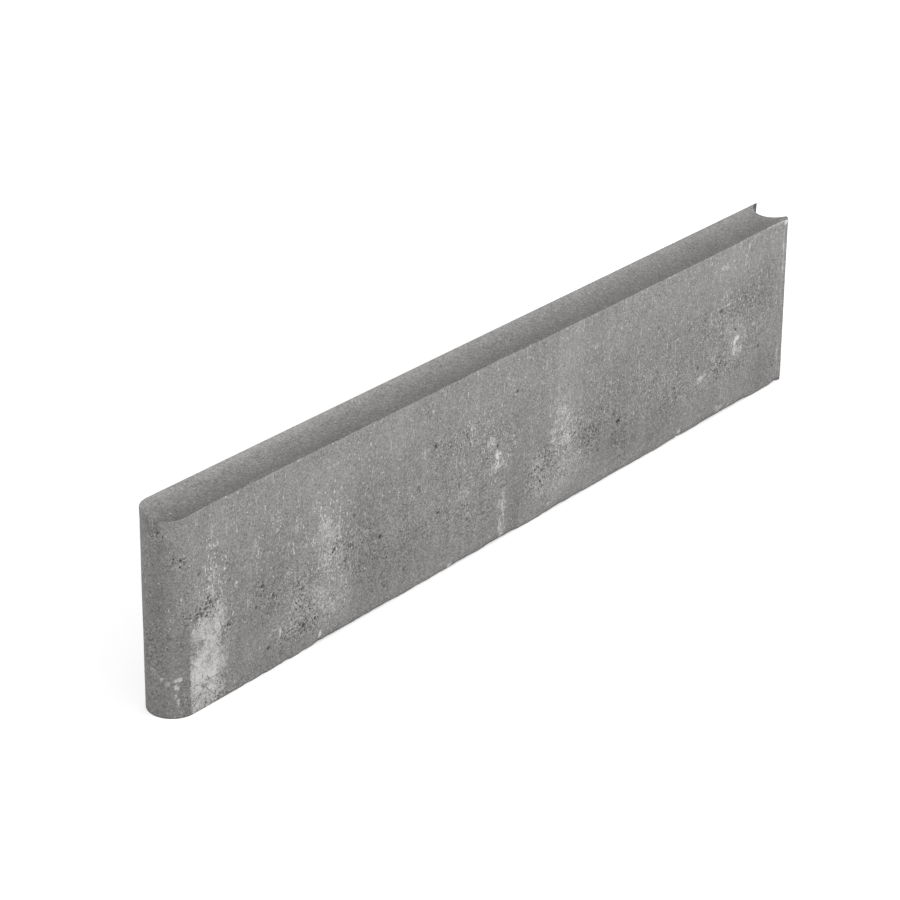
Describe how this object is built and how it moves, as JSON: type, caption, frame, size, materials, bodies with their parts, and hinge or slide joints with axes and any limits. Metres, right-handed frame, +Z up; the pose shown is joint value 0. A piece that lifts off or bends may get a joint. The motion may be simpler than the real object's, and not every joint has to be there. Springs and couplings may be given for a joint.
{
  "type": "concrete kerb stone",
  "caption": "Long narrow concrete kerb stone for edging lawns and paths, with a half-round nose on one end and a matching half-round groove in the other.",
  "frame": {"origin": "middle of the bed, the flat underside that the stone stands on", "axes": "+X along the stone from the half-round nose to the grooved end, +Y from the front face to the back face, +Z up from the bed to the dished top"},
  "size_m": [1, 0.05, 0.2],
  "materials": {
    "concrete": "plain grey cast concrete, rough, with fine sand grain, small air pits, light drag streaks and patches of pale lime bloom"
  },
  "bodies": {
    "root": {"kerb_stone": "concrete"}
  },
  "joints": []
}
